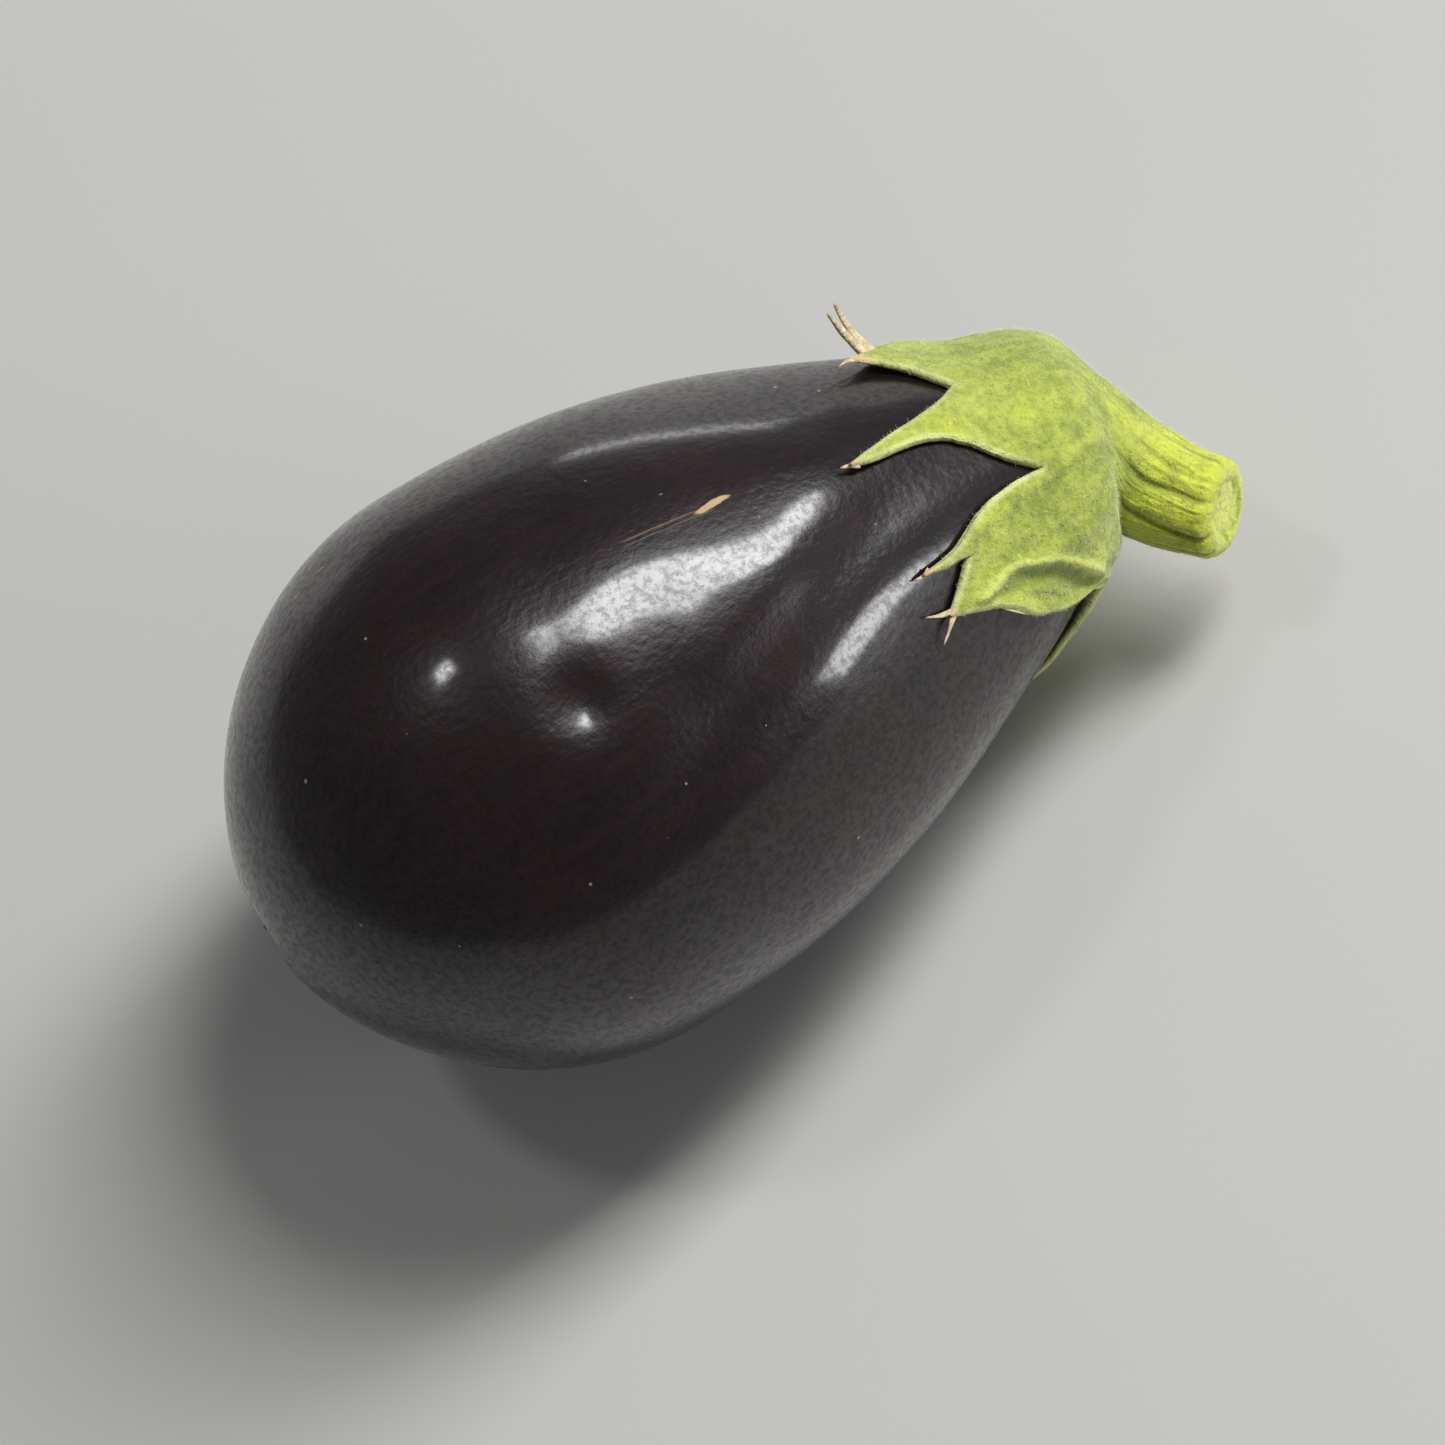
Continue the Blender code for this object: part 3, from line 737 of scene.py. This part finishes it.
# The threads are flattened: each lies flat to the skin, and the standing pair shows its flat side this way.
STANDING, PAIR_FACES = 2, (0.0, -0.47, 0.88)
FLATNESS, TAPER, END_TAPER = 0.6, 0.8, 0.4
vertices, faces, ways = [], [], []
for number, (path, root) in enumerate(DRY_POINTS):
    fine = through(path, POINT_RINGS)
    middles = at_rest(on_skin(fine[:, :2], fine[:, 2]))
    outward = at_rest(on_skin(fine[:, :2], fine[:, 2] + 1)) - middles
    ahead = np.gradient(middles, axis=0)
    ahead /= np.linalg.norm(ahead, axis=1)[:, None]
    flank = np.cross(ahead, PAIR_FACES if number < STANDING else outward)
    flank /= np.linalg.norm(flank, axis=1)[:, None]
    upward = np.cross(flank, ahead)
    first = len(vertices)
    for ring in range(POINT_RINGS):
        along = ring / (POINT_RINGS - 1)
        radius = root * (1 - TAPER * along ** 1.2) * (1 + 0.14 * math.sin(9 * along + 2 * number)) * MM
        if ring == POINT_RINGS - 1:
            radius *= END_TAPER
        for side in range(POINT_SIDES):
            turn = 2 * math.pi * side / POINT_SIDES + 1.6 * along
            ribbed = radius * (1 + 0.16 * math.cos(3 * turn + number))
            vertices.append(middles[ring] + flank[ring] * ribbed * math.cos(turn)
                            + upward[ring] * ribbed * FLATNESS * math.sin(turn))
            ways.append(along)
        if ring:
            row = first + ring * POINT_SIDES
            faces += band(list(range(row, row + POINT_SIDES)), list(range(row - POINT_SIDES, row)))
    faces.append(tuple(range(first, first + POINT_SIDES)))
    faces.append(tuple(reversed(range(len(vertices) - POINT_SIDES, len(vertices)))))
points_piece = add_piece("dry_points", vertices, faces)
face_outwards(points_piece)
mark(points_piece, "along", ways)

tan = Surface("dried_fibre", {"IOR": 1.4, "Sheen Weight": 0.2})
along = tan.reading("along")
grain = tan.between(tan.noise(1, 3, 0.6, (500, 1400, 1400)), 0.35, 0.65)
colour = tan.blend(grain, (0.47, 0.36, 0.21), (0.71, 0.60, 0.40))
colour = tan.blend(tan.between(along, 0.25, 0.0) * 0.6, colour, (0.55, 0.58, 0.20))
colour = tan.blend(tan.between(along, 0.75, 1.0) * 0.6, colour, (0.26, 0.15, 0.08))
tan.feed(tan.shader, {"Base Color": colour, "Roughness": 0.6 + grain * 0.2,
                      "Normal": tan.bump(grain, 0.00012)})
points_piece.data.materials.append(tan.material)
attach(points_piece, "root")

# ---- The blossom scar ----------------------------------------------------------------------------------
# Where the flower dropped off, a small corky patch has healed in a dimple at the blunt end, cracked from
# its middle and with the dry stub of the style still on it. It grows in the skin, so it is sunk into it.
# In millimetres: its radius, how far it is sunk and how far it rises, the stub's height and radius, and
# the depth of the cracks.
SCAR_RADIUS, SCAR_SINK, SCAR_RISE = 4.6, 0.35, 0.30
STUB_HEIGHT, STUB_RADIUS, CRACK_DEPTH = 0.6, 0.75, 0.16
SCAR_ROWS, SCAR_COLUMNS = 40, 144
turns = 2 * math.pi * np.arange(SCAR_COLUMNS) / SCAR_COLUMNS
wobble = np.stack([np.cos(turns), np.sin(turns), 0 * turns], -1)
reach_out = SCAR_RADIUS * (1 + 0.20 * ripple(wobble, 0.9, 30) + 0.10 * ripple(wobble, 0.25, 31))
cracks = np.clip(ripple(wobble, 0.16, 32) * 2.2, -1, 1)
ring_shares = np.linspace(0, 1, SCAR_ROWS + 1)[1:]
vertices, faces, cracked = [], [], []
for under in (False, True):
    for share in ring_shares[:-1] if under else ring_shares:
        distance = reach_out * share
        stub = STUB_HEIGHT * np.exp(-(distance / STUB_RADIUS) ** 4)
        crack = cracks * math.exp(-((share - 0.55) / 0.35) ** 2)
        top = SCAR_RISE * (1 - share ** 4) - CRACK_DEPTH * np.abs(crack) ** 0.5 + stub
        top += 0.08 * ripple(wobble * distance[:, None], 0.8, 33) * (1 - share ** 4)
        lift = np.full(SCAR_COLUMNS, -SCAR_SINK) if under else np.maximum(top, -0.1) * (1 - share ** 8)
        lift = lift - 0.06 * share ** 8 * (not under)
        across = np.array([np.cos(turns) * distance + DIMPLE_SHIFT / MM * math.cos(DIMPLE_TURN),
                           np.sin(turns) * distance + DIMPLE_SHIFT / MM * math.sin(DIMPLE_TURN)])
        round_nose = np.degrees(np.arctan2(across[1], across[0]))
        plan = np.stack([REACH[-1] / MM - np.hypot(*across), round_nose], -1)
        vertices += on_skin(plan, lift).tolist()
        cracked += np.stack(np.broadcast_arrays(np.abs(crack), share, stub), -1).tolist()
rows = [list(range(first, first + SCAR_COLUMNS)) for first in range(0, len(vertices), SCAR_COLUMNS)]
upper, lower = rows[:SCAR_ROWS], rows[SCAR_ROWS:] + [rows[SCAR_ROWS - 1]]
for side in (upper, lower):
    for first, second in zip(side, side[1:]):
        faces += band(first, second)
faces += [tuple(upper[0]), tuple(lower[0])]
scar = add_piece("blossom_scar", at_rest(np.array(vertices)), faces)
face_outwards(scar)
cracked = np.array(cracked)
mark(scar, "crack", cracked[:, 0])
mark(scar, "rim", cracked[:, 1])
mark(scar, "stub", cracked[:, 2])

cork = Surface("scar_cork", {"IOR": 1.4})
crack, rim, stub = cork.reading("crack"), cork.reading("rim"), cork.reading("stub")
flecks = cork.between(cork.noise(900, 4, 0.65), 0.35, 0.65)
colour = cork.blend(flecks, (0.20, 0.115, 0.055), (0.40, 0.27, 0.14))
colour = cork.blend(cork.between(crack, 0.15, 0.7) * 0.75, colour, (0.055, 0.028, 0.016))
colour = cork.blend(cork.between(rim, 0.86, 1.0) * 0.85, colour, (0.030, 0.012, 0.012))
colour = cork.blend(cork.between(stub, 0.05, 0.45) * 0.8, colour, (0.09, 0.05, 0.028))
cork.feed(cork.shader, {"Base Color": colour, "Roughness": 0.75 + flecks * 0.15,
                        "Normal": cork.bump(flecks, 0.0002)})
scar.data.materials.append(cork.material)
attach(scar, "root")

# ---- Floor, light and camera ---------------------------------------------------------------------------
# A pale painted studio floor, four soft lamps and an even surround. None of it is part of the eggplant.
lowest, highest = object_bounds()
floor_mesh = bpy.data.meshes.new("studio_floor")
FLOOR_HALF = 4.0
corners = [(x * FLOOR_HALF, y * FLOOR_HALF, 0) for x, y in ((-1, -1), (1, -1), (1, 1), (-1, 1))]
floor_mesh.from_pydata(corners, [], [(0, 1, 2, 3)])
floor = bpy.data.objects.new("studio_floor", floor_mesh)
bpy.context.scene.collection.objects.link(floor)
paint = Surface("pale_floor_paint", {"IOR": 1.45, "Specular IOR Level": 0.1})
mottle = paint.noise(3, 3)
paint.feed(paint.shader, {"Base Color": paint.blend(mottle, (0.50, 0.495, 0.48), (0.55, 0.545, 0.53)),
                          "Roughness": 0.75 + paint.noise(40, 3) * 0.2})
floor.data.materials.append(paint.material)

LAMP_DISTANCE, LIT_MIDDLE = 2.4, Vector((0.010, 0.0, 0.045))


def strip_lamp(name, towards, width, length, long_way, watts):
    """A soft oblong lamp that shines from this direction, its length lying along long_way."""
    light = bpy.data.lights.new(name, "AREA")
    light.shape, light.size, light.size_y, light.energy = "RECTANGLE", width, length, watts
    held = bpy.data.objects.new(name, light)
    bpy.context.scene.collection.objects.link(held)
    back = Vector(towards).normalized()
    side = Vector(long_way).cross(back).normalized()
    aimed = Matrix((side, back.cross(side), back)).transposed().to_4x4()
    held.matrix_world = Matrix.Translation(LIT_MIDDLE + back * LAMP_DISTANCE) @ aimed


strip_lamp("overhead_strip", (0.66, 0.06, 0.75), 0.66, 1.72, (-0.75, 0.0, 0.66), 69)
strip_lamp("low_side_strip", (0.79, -0.59, 0.16), 0.50, 0.72, (0.59, 0.79, 0.0), 17)
strip_lamp("top_lamp", (-0.23, 0.29, 0.93), 0.24, 0.27, (1.0, 0.0, 0.0), 5)
strip_lamp("far_side_strip", (0.50, 0.87, 0.02), 0.11, 0.80, (0.87, -0.50, 0.0), 1.5)

world = bpy.data.worlds.new("studio_surround")
bpy.context.scene.world = world
world.use_nodes = True
surround = world.node_tree.nodes["Background"].inputs
surround["Color"].default_value = (0.96, 0.97, 1.0, 1)
surround["Strength"].default_value = 0.125

AZIMUTH, ELEVATION, ROLL = math.radians(-4.7), math.radians(61.65), math.radians(32.13)
back = Vector((math.sin(AZIMUTH) * math.cos(ELEVATION), -math.cos(AZIMUTH) * math.cos(ELEVATION),
               math.sin(ELEVATION)))
camera = bpy.data.objects.new("camera", bpy.data.cameras.new("camera"))
bpy.context.scene.collection.objects.link(camera)
camera.data.sensor_width = 36
CAMERA_DISTANCE, VIEW_WIDTH = 1.2, 0.225
AIM_RIGHT, AIM_DOWN = 0.0067, 0.0074
camera.data.lens = camera.data.sensor_width * CAMERA_DISTANCE / VIEW_WIDTH
camera.rotation_mode = "QUATERNION"
rolled = Matrix.Rotation(-ROLL, 3, "Z").to_quaternion()
camera.rotation_quaternion = (-back).to_track_quat("-Z", "Y") @ rolled
right, up = (camera.rotation_quaternion @ Vector(way) for way in ((1, 0, 0), (0, 1, 0)))
aim = Vector(at_rest((FRUIT_LENGTH / 2, 0, 0))) + right * AIM_RIGHT - up * AIM_DOWN
camera.location = aim + back * CAMERA_DISTANCE
bpy.context.scene.camera = camera
bpy.context.scene.view_settings.view_transform = "Standard"
